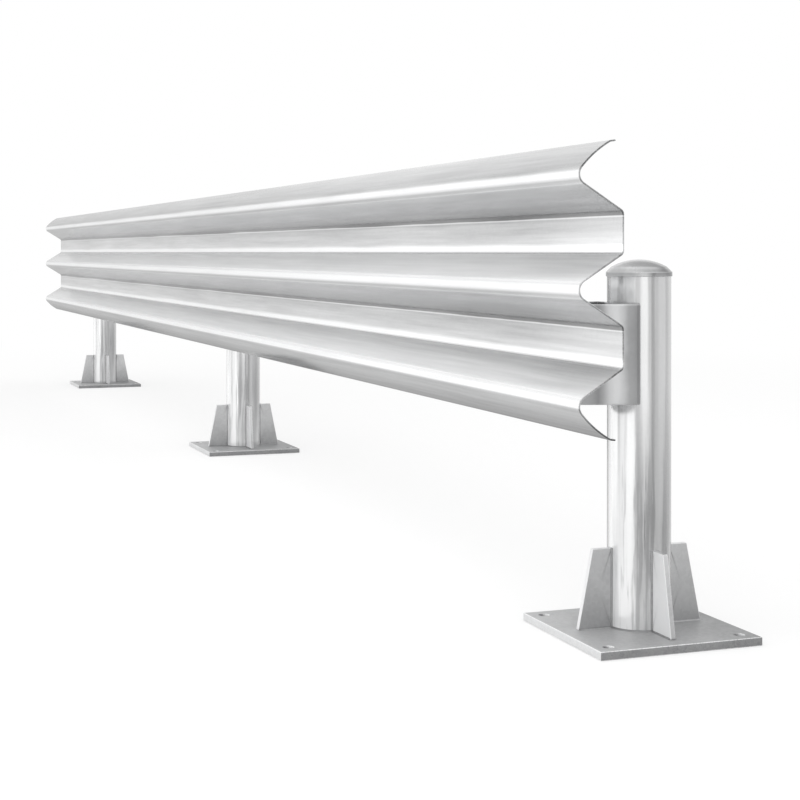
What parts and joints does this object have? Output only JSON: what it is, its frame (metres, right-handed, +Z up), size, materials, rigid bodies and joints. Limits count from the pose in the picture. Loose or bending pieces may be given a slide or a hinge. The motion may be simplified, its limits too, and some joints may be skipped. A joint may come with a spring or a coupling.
{
  "type": "highway guardrail section",
  "caption": "Free-standing road safety barrier: a horizontal pressed steel beam of rounded waves, held by folded spacer blocks in front of round capped posts on gusseted square base plates.",
  "frame": {"origin": "centre of the underside of the middle post's base plate", "axes": "+X along the beam, +Y from the traffic side to the post side, +Z up"},
  "size_m": [6.6, 0.4405, 0.911],
  "materials": {
    "beam_steel": "galvanised pressed sheet, smooth and bright with soft streaks",
    "post_steel": "galvanised tube, bright and nearly mirror-smooth",
    "cap_steel": "galvanised pressed cap, glossy",
    "plate_steel": "galvanised thick plate, matt grey",
    "block_steel": "galvanised folded plate, satin grey",
    "gusset_steel": "galvanised thick plate, satin grey"
  },
  "bodies": {
    "root": {"three_wave_beam": "beam_steel", "post_caps": "cap_steel", "left_post": "post_steel", "left_base_plate": "plate_steel", "left_spacer_block": "block_steel", "left_gusset_front": "gusset_steel", "left_gusset_right": "gusset_steel", "left_gusset_back": "gusset_steel", "left_gusset_left": "gusset_steel", "middle_post": "post_steel", "middle_base_plate": "plate_steel", "middle_spacer_block": "block_steel", "middle_gusset_front": "gusset_steel", "middle_gusset_right": "gusset_steel", "middle_gusset_back": "gusset_steel", "middle_gusset_left": "gusset_steel", "right_post": "post_steel", "right_base_plate": "plate_steel", "right_spacer_block": "block_steel", "right_gusset_front": "gusset_steel", "right_gusset_right": "gusset_steel", "right_gusset_back": "gusset_steel", "right_gusset_left": "gusset_steel"}
  },
  "joints": []
}
